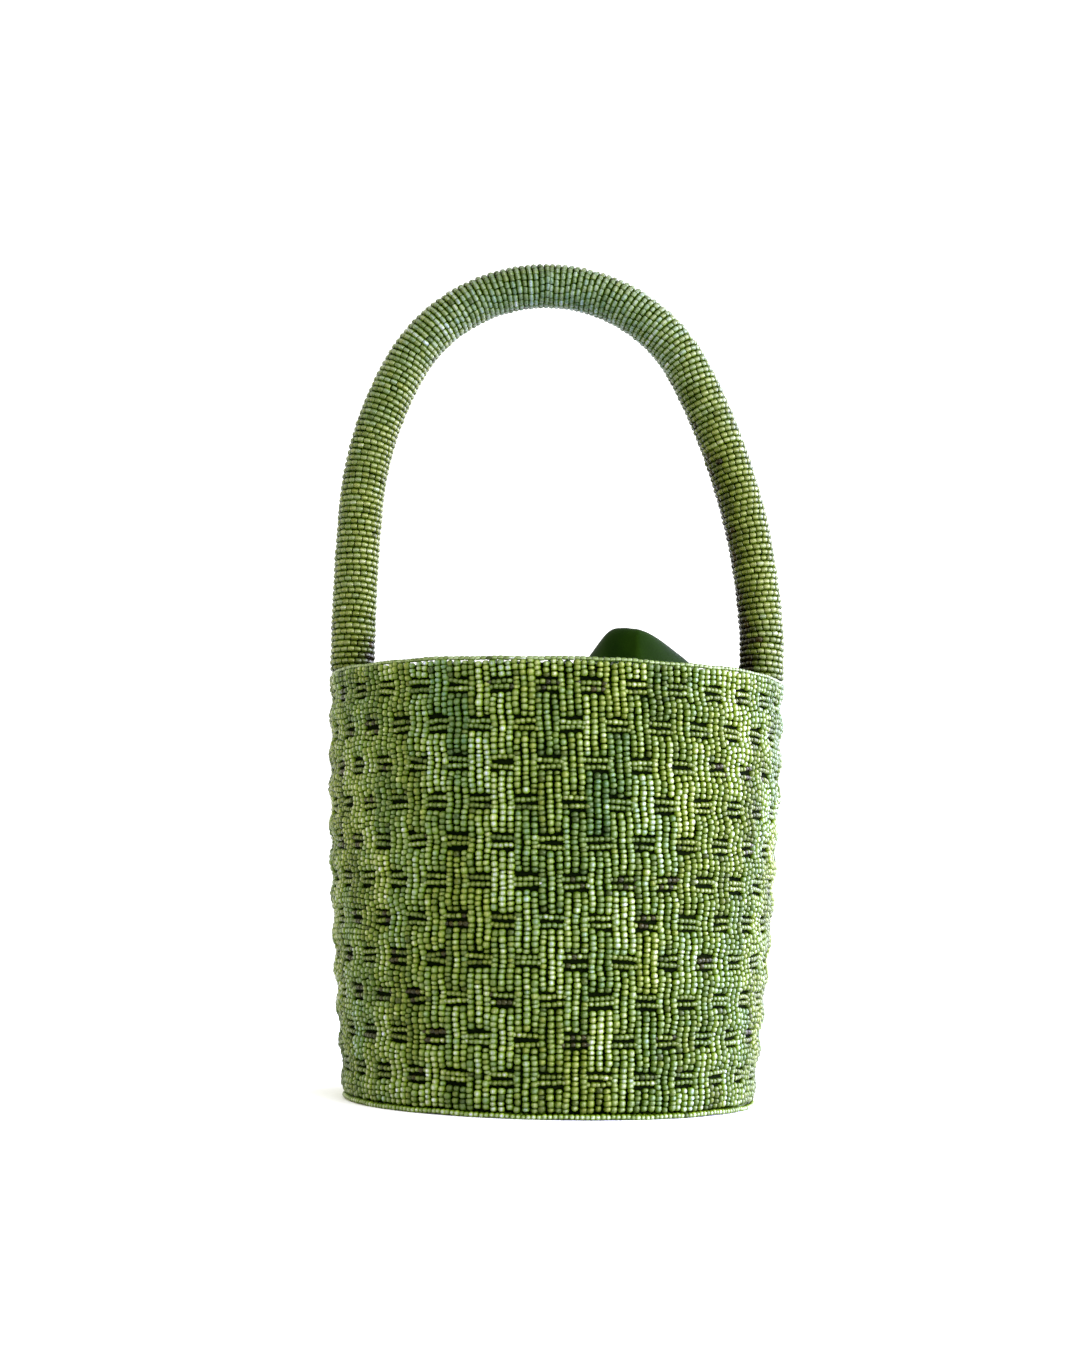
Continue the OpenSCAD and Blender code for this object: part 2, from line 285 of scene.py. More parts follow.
wall_glass = glass_material("wall_glass", 0.63, 0.36)
# The crossbar glass is the wall glass at a lower gain: painted shade for the crossbars, which lie deeper in the
# gaps between the bundles. Their own colour is in their tones.
crossbar_glass_painted_shade = glass_material("crossbar_glass_painted_shade", 0.48, 0.36)
edge_glass = glass_material("edge_glass", 0.68)
handle_glass = glass_material("handle_glass", 0.45)
canvas = woven_material("canvas", (0.0008, 0.0022, 0.0001), (0.0025, 0.0045, 0.0002), 0.5 * MM, 0.95)
webbing = woven_material("webbing", (0.030, 0.045, 0.015), (0.055, 0.080, 0.030), 0.8 * MM, 0.8)
satin = satin_material("satin", (0.0005, 0.006, 0.0002), (0.008, 0.024, 0.0006))
satin_shade = satin_material("satin_shade", (0.0005, 0.006, 0.0002), (0.004, 0.015, 0.0005))
thread = woven_material("thread", (0.10, 0.14, 0.05), (0.17, 0.22, 0.09), 0.2 * MM, 0.7)
cord_cotton = woven_material("cord_cotton", (0.012, 0.030, 0.004), (0.024, 0.052, 0.008), 0.4 * MM, 0.8)
board = plain_material("board", (0.30, 0.27, 0.22), (0.42, 0.39, 0.33), 300, 0.8)
wadding = plain_material("wadding", (0.62, 0.58, 0.48), (0.78, 0.74, 0.64), 500, 0.95)
core_plastic = plain_material("core_plastic", (0.10, 0.10, 0.11), (0.15, 0.15, 0.16), 200, 0.45)


# ---------------------------------------------------------------- beads

def mesh_object(name, points, faces, shade_smooth=True):
    """A new mesh object in the scene."""
    mesh = bpy.data.meshes.new(name)
    mesh.from_pydata([tuple(p) for p in points], [], faces)
    mesh.polygons.foreach_set("use_smooth", [shade_smooth] * len(mesh.polygons))
    mesh.update()
    made = bpy.data.objects.new(name, mesh)
    bpy.context.scene.collection.objects.link(made)
    return made


class Bead:
    """One bead of unit radius and unit half length along Z: a barrel whose ends round off to the hole."""

    def __init__(self, sides, profile):
        rings, m = len(profile), sides
        turn = np.arange(m) * 2 * math.pi / m
        self.points = np.array([(r * math.cos(a), r * math.sin(a), z) for z, r in profile for a in turn]
                               + [(0, 0, -0.9), (0, 0, 0.9)])
        triangles, uvs = [], []
        heights = np.linspace(0.15, 0.85, rings)

        def corner(ring, side):
            return ring * m + side % m, (side / m, heights[ring])

        for i in range(rings - 1):
            for j in range(m):
                a, b, c, d = corner(i, j), corner(i, j + 1), corner(i + 1, j + 1), corner(i + 1, j)
                for triple in ((a, b, c), (a, c, d)):
                    triangles.append([v for v, _ in triple])
                    uvs.append([uv for _, uv in triple])
        for j in range(m):
            middle = ((j + 0.5) / m, 0.0), ((j + 0.5) / m, 1.0)
            a, b = corner(0, j), corner(0, j + 1)
            triangles.append([b[0], a[0], rings * m])
            uvs.append([b[1], a[1], middle[0]])
            a, b = corner(rings - 1, j), corner(rings - 1, j + 1)
            triangles.append([a[0], b[0], rings * m + 1])
            uvs.append([a[1], b[1], middle[1]])
        self.triangles = np.array(triangles)
        self.uvs = np.array(uvs)


ROUND_BEAD = Bead(8, [(-1.0, 0.5), (-0.66, 0.88), (0.0, 1.0), (0.66, 0.88), (1.0, 0.5)])
LONG_BEAD = Bead(8, [(-1.0, 0.7), (-0.75, 0.92), (0.0, 1.0), (0.75, 0.92), (1.0, 0.7)])
PLAIN_BEAD = Bead(6, [(-1.0, 0.5), (0.0, 1.0), (1.0, 0.5)])


def unit(v):
    """Vectors scaled to length 1."""
    return v / np.linalg.norm(v, axis=-1, keepdims=True)


class Strand:
    """Collects beads: where each one is, which way its hole and its outside face, its size, tone and hue."""

    def __init__(self):
        self.rows = []

    def add(self, place, along, outward, radius, half_length, tone, hue=0.35):
        """Adds n beads: place, along and outward are n by 3, and the rest n numbers or one."""
        n = len(place)
        spread = [np.broadcast_to(np.asarray(v, float), (n,)) for v in (radius, half_length, tone, hue)]
        self.rows.append(np.column_stack([place, along, outward, *spread]))

    def beads(self):
        return np.concatenate(self.rows)


def handmade(beads, slip, tilt, size):
    """Beads moved, tilted and sized a little differently from each other, as hand-threaded ones are."""
    n = len(beads)
    out = beads.copy()
    out[:, 0:3] += rng.normal(0, slip, (n, 3))
    out[:, 3:6] = unit(out[:, 3:6] + rng.normal(0, tilt, (n, 3)))
    out[:, 9:11] *= 1 + rng.normal(0, size, (n, 1))
    return out


def bead_object(name, beads, body, glass, shape=ROUND_BEAD, streak=0.0):
    """One mesh of all the beads, each with its tone, its hue and its own patch of the UV map.

    The painted highlight on a bead's crown is round where streak is 0, and runs along the bead where it is 1."""
    n, m = len(beads), len(shape.points)
    along = unit(beads[:, 3:6])
    side = unit(np.cross(along, beads[:, 6:9]))
    third = np.cross(along, side)
    spin = rng.uniform(0, 2 * math.pi, n)[:, None]
    across = side * np.cos(spin) + third * np.sin(spin)
    other = np.cross(along, across)
    radius, half = beads[:, 9, None, None], beads[:, 10, None, None]
    local = shape.points
    points = (
        beads[:, None, 0:3]
        + radius * (local[None, :, 0, None] * across[:, None] + local[None, :, 1, None] * other[:, None])
        + half * local[None, :, 2, None] * along[:, None]
    ).reshape(-1, 3)
    triangles = (shape.triangles[None] + (np.arange(n) * m)[:, None, None]).reshape(-1, 3)
    cells = math.ceil(math.sqrt(n))
    cell = np.stack([np.arange(n) % cells, np.arange(n) // cells], 1)[:, None, None]
    uvs = ((cell + 0.06 + 0.88 * shape.uvs[None]) / cells).reshape(-1, 2)
    mesh = bpy.data.meshes.new(name)
    mesh.vertices.add(len(points))
    mesh.vertices.foreach_set("co", points.astype(np.float32).ravel())
    mesh.loops.add(triangles.size)
    mesh.loops.foreach_set("vertex_index", triangles.astype(np.int32).ravel())
    mesh.polygons.add(len(triangles))
    mesh.polygons.foreach_set("loop_start", np.arange(0, triangles.size, 3, dtype=np.int32))
    mesh.update(calc_edges=True)
    mesh.polygons.foreach_set("use_smooth", np.ones(len(triangles), bool))
    mesh.uv_layers.new(name="OFBake").data.foreach_set("uv", uvs.astype(np.float32).ravel())
    # crown: how far each point of a bead faces outward, which drives its painted highlight and shade.
    bulk = points.reshape(n, m, 3) - beads[:, None, 0:3]
    bulk -= streak * (bulk * along[:, None]).sum(-1, keepdims=True) * along[:, None]
    crown = (bulk * unit(beads[:, None, 6:9])).sum(-1) / np.maximum(np.linalg.norm(bulk, axis=-1), 0.1 * MM)
    crown = crown.ravel()
    for attribute, amounts in (
        ("tone", np.repeat(beads[:, 11], m)), ("hue", np.repeat(beads[:, 12], m)), ("crown", crown),
    ):
        values = mesh.attributes.new(attribute, "FLOAT", "POINT")
        values.data.foreach_set("value", amounts.astype(np.float32))
    mesh.materials.append(glass)
    mesh.validate()
    made = bpy.data.objects.new(name, mesh)
    bpy.context.scene.collection.objects.link(made)
    if body:
        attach(made, body)
    return made


def on_side(angle, z, depth):
    """Points at an angle round the bag, 0 at the front and growing to the right, depth inside its outside."""
    r = side_r(z) - depth
    return np.stack([r * np.sin(angle), -r * np.cos(angle), z + 0 * r], -1)


def fan(z):
    """How much wider than average the strands stand in front at height z; behind, they are that much closer."""
    return FAN_FOOT + (FAN_RIM - FAN_FOOT) * z / RIM_Z


def woven_angle(place, z):
    """Angle round the bag of a strand, from its even place in the weave and the height."""
    return place + fan(z) * np.sin(place) + STRAND_LEAN * (z / RIM_Z) ** 2


column_angle = 2 * math.pi / COLUMNS
FOOT_Z = 2.4 * MM
HEAD_Z = RIM_Z - 1.0 * MM
BAR_BEADS = 6
BAR_SPACING = 2.35 * MM
BAR_PITCH = 1.75 * MM
SECTORS = 8


def tones(n, mean, spread=0.07):
    """Tones of n beads about a mean, with the few odd dark and pale beads that any batch has."""
    tone = np.clip(rng.normal(mean, spread, n), 0.11, 1)
    odd = rng.random(n)
    tone[odd < 0.01] = rng.uniform(0.1, 0.2, (odd < 0.01).sum())
    tone[odd > 0.99] = rng.uniform(0.65, 0.74, (odd > 0.99).sum())
    return tone


def patches(angle, z, seed):
    """Slow changes round and up the bag, about -1 to 1, as batches of beads and the thread's tension vary."""
    return (
        np.sin(3 * angle + 31 * z + seed) + np.sin(7 * angle - 47 * z + 2.1 * seed)
        + np.sin(11 * angle + 83 * z + 4.3 * seed) + np.sin(19 * angle - 120 * z + 0.7 * seed)
    ) / 2.4


def uneven_places(low, high):
    """Middles and half lengths of beads of uneven length that fill a stretch of a strand."""
    n = max(3, round((high - low) / STRAND_PITCH))
    length = np.clip(rng.normal(1, 0.16, n), 0.6, 1.4)
    length *= (high - low) / length.sum()
    ends = low + np.cumsum(length)
    return ends - length / 2, length / 2


class Column:
    """One vertical strand: it strays a little sideways all the way up, and has its own dye."""

    def __init__(self, number):
        self.place = (number - 1) * column_angle
        self.phase = rng.uniform(0, 2 * math.pi, 3)
        self.tone = rng.normal(0, 0.06)
        self.side = number % 3 - 1

    def stray(self, z):
        """Sideways distance from its place."""
        waves = zip(self.phase, (260, 430, 700), (0.10 * MM, 0.10 * MM, 0.08 * MM))
        return sum(size * np.sin(rate * z + phase) for phase, rate, size in waves)


def pinch(z):
    """1 at the height of a crossbar row, where the weave is drawn tight, and 0 midway between two rows."""
    return np.cos(math.pi * (z - ROW_FIRST) / ROW_PITCH) ** 2


def bundle(strand, column, low, high, mood):
    """One column of a bundle, from height low to high: it puffs out in its middle and dives at its ends."""
    low, high = low + rng.normal(0, 0.22 * MM), high + rng.normal(0, 0.22 * MM)
    z, half = uneven_places(low, high)
    t = (z - (low + high) / 2) / ((high - low) / 2)
    if low <= FOOT_Z + 1 * MM:
        t = np.where(t < 0, t * 0.35, t)
    if high >= HEAD_Z - 1 * MM:
        t = np.where(t > 0, t * 0.35, t)
    depth = (1.2 + (0.9 + mood["bulge"]) * pinch(z) - mood["bulge"] + 0.7 * t ** 6) * MM
    spread = 0.16 * MM * column.side * (1 - t ** 2)
    angle = woven_angle(column.place, z) + (column.stray(z) + spread + mood["lean"] * t) / side_r(z)
    place = on_side(angle, z, depth)
    outward = np.stack([np.sin(angle), -np.cos(angle), 0 * angle], -1)
    along = unit(np.gradient(place, axis=0))
    width = side_r(z) * column_angle * (1 + fan(z) * np.cos(column.place))
    radius = width * rng.normal(0.48, 0.015)
    mean = 0.48 + column.tone + mood["tone"] + rng.normal(0, 0.07)
    # Painted shade: beads towards both ends of a bundle, where it dives in beside the crossbars, are painted
    # darker.
    tone = tones(len(z), np.clip(mean, 0.22, 0.68) + 0.05 - 0.14 * t ** 4)
    hue = np.clip(mood["hue"] + rng.normal(0, 0.12, len(z)), 0, 1)
    strand.add(place, along, outward, radius, 1.03 * half, tone, hue)


def mood_of(angle, z):
    """What the three strands of one bundle share: how far they stand out, how they lean, and their dye."""
    return {
        "bulge": rng.uniform(0.0, 0.35),
        "lean": rng.normal(0, 0.14 * MM),
        "tone": 0.09 * patches(angle, z, 1.0) + rng.normal(0, 0.125),
        "hue": 0.3 + 0.25 * patches(angle, z, 5.0) + rng.normal(0, 0.09),
    }


def weave():
    """The side: sets of three vertical strands, and the crossbars that show in the gaps of each set."""
    sectors = [Strand() for _ in range(SECTORS)]
    bars = [Strand(), Strand()]
    for s in range(SETS):
        columns = [Column(3 * s + c) for c in range(3)]
        middles = [ROW_FIRST + k * ROW_PITCH for k in range(ROWS) if (ROWS - 1 - k + s) % 2 == 0]
        half_gap = [GAP_H / 2 + rng.normal(0, 0.15 * MM) for _ in middles]
        lows = [FOOT_Z] + [z + g for z, g in zip(middles, half_gap)]
        highs = [z - g for z, g in zip(middles, half_gap)] + [HEAD_Z]
        for low, high in zip(lows, highs):
            mood = mood_of(columns[1].place, (low + high) / 2)
            for column in columns:
                bundle(sectors[s * SECTORS // SETS], column, low, high, mood)
        for z in middles:
            crossbar(bars[2 * s // SETS], columns[1].place, z)
    return sectors, bars


def crossbar(strand, set_place, z):
    """The two horizontal strands that show in one gap."""
    angle = woven_angle(set_place, z)
    hue = np.clip(0.2 + 0.25 * patches(angle, z, 5.0), 0, 1)
    brown = rng.random() < 0.3
    for level in (-0.5, 0.5):
        height = z + level * BAR_SPACING + rng.normal(0, 0.22 * MM)
        r = side_r(height)
        pitch = BAR_PITCH / r
        run = np.arange(BAR_BEADS) - (BAR_BEADS - 1) / 2
        turn = angle + run * pitch + rng.normal(0, 0.3 * MM) / r
        off = run / 2
        heights = height + rng.normal(0, 0.09 * MM) * run
        place = on_side(turn, heights, (1.7 + 0.2 * off ** 2) * MM)
        outward = np.stack([np.sin(turn), -np.cos(turn), 0 * turn], -1)
        along = np.stack([np.cos(turn), np.sin(turn), 0 * turn], -1)
        tone = tones(BAR_BEADS, rng.uniform(0.35, 0.65), 0.12)
        if brown:
            some = rng.random(BAR_BEADS) < 0.35
            tone[some] = rng.uniform(0.0, 0.07, some.sum())
        strand.add(place, along, outward, 0.88 * MM, 0.52 * BAR_PITCH, tone, hue)


def edge_row(strand, radius, z, bead_r, pitch, tone):
    """A single row of beads round the bag, threaded on a horizontal ring."""
    n = round(2 * math.pi * radius / pitch)
    turn = np.arange(n) * 2 * math.pi / n
    wave = 0.15 * MM * np.sin(turn * 9) + 0.1 * MM * np.sin(turn * 23 + 1)
    place = np.stack([radius * np.sin(turn), -radius * np.cos(turn), z + wave], -1)
    outward = np.stack([np.sin(turn), -np.cos(turn), 0 * turn], -1)
    along = np.stack([np.cos(turn), np.sin(turn), 0 * turn], -1)
    strand.add(place, along, outward, bead_r, 0.5 * pitch, tones(n, tone, 0.1))


def underside():
    """The base: rings of beads, one inside the other, and one bead in the middle."""
    strand = Strand()
    pitch = 2.3 * MM
    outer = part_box("base_beadwork")[1].x - 1.0 * MM
    for i in range(int(outer / pitch) + 1):
        r = outer - i * pitch
        n = max(1, round(2 * math.pi * r / (1.85 * MM)))
        turn = np.arange(n) * 2 * math.pi / n + i
        place = np.stack([r * np.sin(turn), -r * np.cos(turn), np.full(n, BEAD_T / 2)], -1)
        along = np.stack([np.cos(turn), np.sin(turn), 0 * turn], -1)
        down = np.broadcast_to([0, 0, -1.0], (n, 3))
        strand.add(place, along, down, 1.02 * MM, 0.9 * MM, tones(n, 0.5))
    return strand


sectors, bars = weave()
for i, strand in enumerate(sectors):
    piece = bead_object(f"wall_beads_{i + 1}", handmade(strand.beads(), 0.07 * MM, 0.07, 0.05),
                        "bag", wall_glass)
    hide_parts("wall_beadwork")
for i, strand in enumerate(bars):
    piece = bead_object(f"crossbar_beads_{i + 1}", handmade(strand.beads(), 0.08 * MM, 0.08, 0.05),
                        "bag", crossbar_glass_painted_shade)
    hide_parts("crossbar_strands")

rim_row = Strand()
edge_row(rim_row, TOP_R - 1.15 * MM, RIM_Z - 0.45 * MM, 0.72 * MM, 1.9 * MM, 0.42)
rim_beads = bead_object("rim_beads", handmade(rim_row.beads(), 0.04 * MM, 0.04, 0.03),
                        "bag", edge_glass, LONG_BEAD, streak=0.9)
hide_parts("rim_edge_beads")

base_row = Strand()
edge_row(base_row, BASE_EDGE_R - 1.05 * MM, 0.95 * MM, 0.9 * MM, 1.7 * MM, 0.68)
base_edge = bead_object("base_edge_row", handmade(base_row.beads(), 0.05 * MM, 0.06, 0.05),
                        "bag", edge_glass)
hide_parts("base_edge_beads")
base_beads = bead_object("base_beads", handmade(underside().beads(), 0.05 * MM, 0.05, 0.04),
                         "bag", wall_glass, PLAIN_BEAD)
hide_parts("base_beadwork")


# ---------------------------------------------------------------- handle

def side_radii(w):
    """Radii of the shoulder and leg arcs that join the crown to an upright root w to the side."""
    a, b = math.sin(BREAK_2) - math.sin(BREAK_1), 1 - math.sin(BREAK_2)
    c, d = math.cos(BREAK_1) - math.cos(BREAK_2), math.cos(BREAK_2)
    e, f = w - CROWN_R * math.sin(BREAK_1), ARCH_H - CROWN_R * (1 - math.cos(BREAK_1))
    det = a * d - b * c
    return (e * d - b * f) / det, (a * f - c * e) / det


def arch_point(side, lean):
    """Point (x, z) of the tube's centre line, on that side of the crown, where the tube leans by lean."""
    w = ROOT_X - side * CROWN_X
    shoulder, leg = side_radii(w)
    x, z = 0.0, ARCH_H - CROWN_R
    r = CROWN_R
    for start, bigger in ((BREAK_1, shoulder), (BREAK_2, leg)):
        if lean > start:
            x -= (bigger - r) * math.sin(start)
            z -= (bigger - r) * math.cos(start)
            r = bigger
    return np.array([CROWN_X + side * (x + r * math.sin(lean)), ARCH_Z + z + r * math.cos(lean)])


ROOT_Z = RIM_Z + 0.7 * MM            # height of the lowest row of beads


def arch_line(step):
    """Points (x, z) about step apart down the whole tube, from the left root to the right one."""
    leans = np.radians(np.linspace(0, 90, 361))
    left = [arch_point(-1, t) for t in leans[::-1]]
    right = [arch_point(1, t) for t in leans[1:]]
    line = np.array([(-ROOT_X, ROOT_Z), *left, *right, (ROOT_X, ROOT_Z)])
    run = np.concatenate([[0], np.cumsum(np.linalg.norm(np.diff(line, axis=0), axis=1))])
    at = np.linspace(0, run[-1], round(run[-1] / step) + 1)
    return np.stack([np.interp(at, run, line[:, k]) for k in (0, 1)], 1)


def line_frames(line):
    """Tangents along a line in the XZ plane, and normals that point away from the middle of the arch."""
    tangent = unit(np.gradient(line, axis=0))
    return tangent, np.stack([-tangent[:, 1], tangent[:, 0]], 1)


def root_taper(z):
    """The tube is drawn in a little where it is sewn to the rim."""
    return 1 - 0.07 * np.clip(1 - (z - ROOT_Z) / (5 * MM), 0, 1) ** 2


HANDLE_BEAD_R = 1.12 * MM
HANDLE_BEADS_ROUND = 19             # beads in one row round the tube


def painted_leg_shade(p, out):
    """Painted shade: how much darker the beads that face inward on a leg are painted, near the left root and
    far up the right leg, where shadow falls.
    """
    left = p[0] < 0
    inner = np.clip(out[:, 0] if left else -out[:, 0], 0, 1)
    reach = 22 * MM if left else 110 * MM
    near = np.clip(1 - (p[1] - ROOT_Z) / reach, 0, 1)
    at_root = np.exp(-(p[1] - ROOT_Z) / (6 * MM))
    return inner * ((0.42 if left else 0.55) * near ** 0.6 + 0.5 * at_root)


def handle_rows():
    """Rows of beads wound round the tube, split at the crown into a left and a right half."""
    line = arch_line(HANDLE_PITCH)
    tangent, normal = line_frames(line)
    halves = Strand(), Strand()
    count = HANDLE_BEADS_ROUND
    for i, (p, t, n) in enumerate(zip(line, tangent, normal)):
        ring_r = (TUBE_R - HANDLE_BEAD_R) * root_taper(p[1])
        turn = (np.arange(count) + rng.uniform()) * 2 * math.pi / count
        out = np.stack([np.cos(turn) * n[0], np.sin(turn), np.cos(turn) * n[1]], -1)
        round_it = np.stack([-np.sin(turn) * n[0], np.cos(turn), -np.sin(turn) * n[1]], -1)
        tilt = 0.45 * MM * np.sin(turn) * (-1 if p[0] < CROWN_X else 1)
        sway = tilt + 0.12 * MM * np.sin(2 * turn + i * 0.35)
        along = np.array([t[0], 0, t[1]])
        place = np.array([p[0], 0, p[1]]) + ring_r * out + sway[:, None] * along
        row_tone = 0.46 + 0.06 * math.sin(i * 0.13) + rng.normal(0, 0.06)
        climb = (p[1] - ROOT_Z) / (HANDLE_TOP - ROOT_Z)
        batches = 0.2 * np.sin(i * 0.06 + 2) + 0.2 * np.sin(turn + i * 0.05)
        hue = np.clip(0.05 + 0.4 * climb + batches + rng.normal(0, 0.1, count), 0, 1)
        # The tone of the inward-facing beads on the legs is lowered by painted shade.
        tone = np.clip(tones(count, row_tone) - painted_leg_shade(p, out), 0.01, 1)
        half = halves[0 if i < len(line) / 2 else 1]
        half.add(place, round_it, out, HANDLE_BEAD_R, 0.51 * 2 * math.pi * ring_r / count, tone, hue)
    return halves


def swept_tube(name, line, radius, sides, cloth):
    """A strip of cloth bent to a tube round a line in the XZ plane; its long edges meet in a seam."""
    _, normal = line_frames(line)
    turn = np.arange(sides + 1) * 2 * math.pi / sides
    out, sideways = radius * np.cos(turn), radius * np.sin(turn)
    rings = [np.stack([p[0] + out * n[0], sideways, p[1] + out * n[1]], -1) for p, n in zip(line, normal)]
    across = sides + 1
    faces = [
        (i * across + j, i * across + j + 1, (i + 1) * across + j + 1, (i + 1) * across + j)
        for i in range(len(line) - 1) for j in range(sides)
    ]
    made = mesh_object(name, np.concatenate(rings), faces)
    made.data.materials.append(cloth)
    return made


for name, half in zip(("handle_beads_left", "handle_beads_right"), handle_rows()):
    piece = bead_object(name, handmade(half.beads(), 0.05 * MM, 0.04, 0.04), None,
                        handle_glass, LONG_BEAD, streak=0.9)
    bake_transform(piece)
    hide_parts("handle_beadwork")
sleeve = swept_tube("handle_sleeve_skin", arch_line(3 * MM), SLEEVE_R, 24, canvas)
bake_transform(sleeve)
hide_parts("handle_sleeve")


# ---------------------------------------------------------------- satin

def sheet_grid(name, rows, cloth, thickness=0.0):
    """A sheet through rows of points, each row closed to a ring."""
    across = len(rows[0])
    faces = []
    for i in range(len(rows) - 1):
        for j in range(across):
            here, after = i * across + j, i * across + (j + 1) % across
            faces.append((here, after, after + across, here + across))
    made = mesh_object(name, np.concatenate(rows), faces)
    made.data.materials.append(cloth)
    if thickness:
        solid = made.modifiers.new("thickness", "SOLIDIFY")
        solid.thickness = thickness
        solid.offset = 0
    return made


def smooth_step(x):
    """0 below 0 and 1 above 1, with an even rise between."""
    u = np.clip(x, 0, 1)
    return u * u * (3 - 2 * u)


def fold_height(x, y):
    """Height of the tall fold over a point of the plan: steep on its left, a long shoulder on its right."""
    crest = smooth_step((x + 0.8 * MM) / (24 * MM)) * smooth_step((76 * MM - x) / (45 * MM))
    shoulder = 0.14 * np.exp(-((x - 58 * MM) / (6 * MM)) ** 2)
    bend = x - FOLD_X
    ridge = FOLD_Y + np.where(bend < 0, -0.45, 0.3) * bend
    return FOLD_H * (crest + shoulder) * np.exp(-((y - ridge) / (7.5 * MM)) ** 2)


GATHERS = rng.uniform(0, 2 * math.pi, 6)


def gather(turn, share):
    """Height of the gathers: fine and steep at the drawn mouth, fewer and slack towards the seam."""
    p = GATHERS
    fine = np.sin(31 * turn + 1.6 * np.sin(3 * turn + p[0]) + p[1]) * smooth_step((share - 0.45) / 0.55)
    coarse = np.sin(17 * turn + 1.3 * np.sin(2 * turn + p[2]) + p[3] + 2 * share) * smooth_step(share / 0.6)
    slack = np.sin(5 * turn + p[4]) * np.sin(math.pi * np.clip(share, 0, 1))
    return (0.75 * fine + 0.7 * coarse + 0.5 * slack) * MM


def collar_surface(turn, share):
    """Points of the satin between its seam (share 0) and its mouth (share 1)."""
    r = COLLAR_R - (COLLAR_R - MOUTH_R) * share
    x, y = r * np.cos(turn), r * np.sin(turn)
    slope = (MOUTH_Z - COLLAR_TURN) * smooth_step((share - 0.3) / 0.7)
    held = np.exp(-(share / 0.1) ** 2)
    fold = (1 - held) * fold_height(x, y)
    calm = 1 - 0.75 * np.clip(fold / (8 * MM), 0, 1)
    height = COLLAR_TURN + slope + fold + gather(turn, share) * calm
    return np.stack([x, y, height], -1)


TURNS = np.arange(400) * 2 * math.pi / 400
BEND_R = 1.2 * MM                   # of the bend where the satin turns inward


def ring(radius, z, wobble=0.0):
    """A ring of points; wobble is how far it strays inward, one value for each point or one for all."""
    r = radius - wobble
    return np.stack([r * np.cos(TURNS), r * np.sin(TURNS), z + 0 * TURNS], -1)


def satin_collar():
    """The satin that is sewn in below the rim, turns inward and is gathered to the mouth."""
    rise = []
    for z in np.linspace(COLLAR_LOW, COLLAR_TURN - BEND_R, 7):
        ripple = 0.18 * MM * np.sin(23 * TURNS + 600 * z) * (z - COLLAR_LOW) / (COLLAR_TURN - COLLAR_LOW)
        rise.append(ring(COLLAR_R, z, ripple))
    for bend in (0.35, 0.8):
        inset = BEND_R * (1 - math.cos(bend * math.pi / 2))
        lift = BEND_R * (math.sin(bend * math.pi / 2) - 1)
        rise.append(ring(COLLAR_R - inset, COLLAR_TURN + lift))
    inward = [collar_surface(TURNS, share) for share in np.linspace(0.035, 1, 46)]
    return sheet_grid("satin_collar", rise + inward, satin, thickness=0.35 * MM)


def mouth_tube(name, radius, sides, cloth):
    """A soft tube round the mouth; radius is one number, or one for each of the TURNS."""
    edge = collar_surface(TURNS, np.ones_like(TURNS))
    out = np.stack([np.cos(TURNS), np.sin(TURNS), 0 * TURNS], -1)
    up = np.array([0, 0, 1.0])
    middle = edge - out * (HEM_R - 0.2 * MM)
    rows = []
    for j in range(sides + 1):
        angle = j * 2 * math.pi / sides
        r = radius * (1 + 0.06 * math.cos(2 * angle)) * np.ones_like(TURNS)
        rows.append(middle + out * (r * math.cos(angle))[:, None] + up * (r * math.sin(angle))[:, None])
    return sheet_grid(name, rows, cloth)


collar = satin_collar()
pucker = 1 + 0.10 * np.sin(62 * TURNS + 2 * np.sin(5 * TURNS)) + 0.06 * np.sin(37 * TURNS)
hem = mouth_tube("collar_hem_channel", 0.9 * HEM_R * pucker, 14, satin_shade)
cord = mouth_tube("hem_drawcord", CORD_R, 8, cord_cotton)
for piece in (collar, hem, cord):
    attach(piece, "bag")
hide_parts("pouch_collar")
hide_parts("collar_hem")
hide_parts("drawcord")


def lining_r(z):
    """Outer radius of the lining, which follows the side."""
    return LINING_R - (TOP_R - side_r(z))


def wall_lining_sheet():
    """The satin of the inside wall: it hangs from the rim in long, slack waves."""
    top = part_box("wall_lining")[1].z
    rows = []
    for z in np.linspace(FLOOR_Z, top, 40):
        share = (z - FLOOR_Z) / (top - FLOOR_Z)
        slack = math.sin(math.pi * share) ** 0.7
        folds = 0.5 * (1 + np.sin(14 * TURNS + 1.2 * np.sin(2 * TURNS) + 0.8 * share))
        puckers = 0.5 * (1 + np.sin(47 * TURNS + 2 * np.sin(3 * TURNS))) * share ** 6
        rows.append(ring(lining_r(z) - LINING_T / 2, z, (1.2 * slack * folds + 0.3 * puckers) * MM))
    return sheet_grid("wall_lining_sheet", rows, satin)


def base_lining_sheet():
    """The satin over the base board, with a few slack waves that run out from the middle."""
    rows = []
    outer = lining_r(FLOOR_Z) - LINING_T
    for r in np.linspace(outer, 1.0 * MM, 26):
        share = r / outer
        wave = 0.25 * (1 + np.sin(5 * TURNS + 3 * share)) * math.sin(math.pi * share) * MM
        rows.append(ring(r, FLOOR_Z - LINING_T / 2 + wave))
    return sheet_grid("base_lining_sheet", rows, satin_shade)


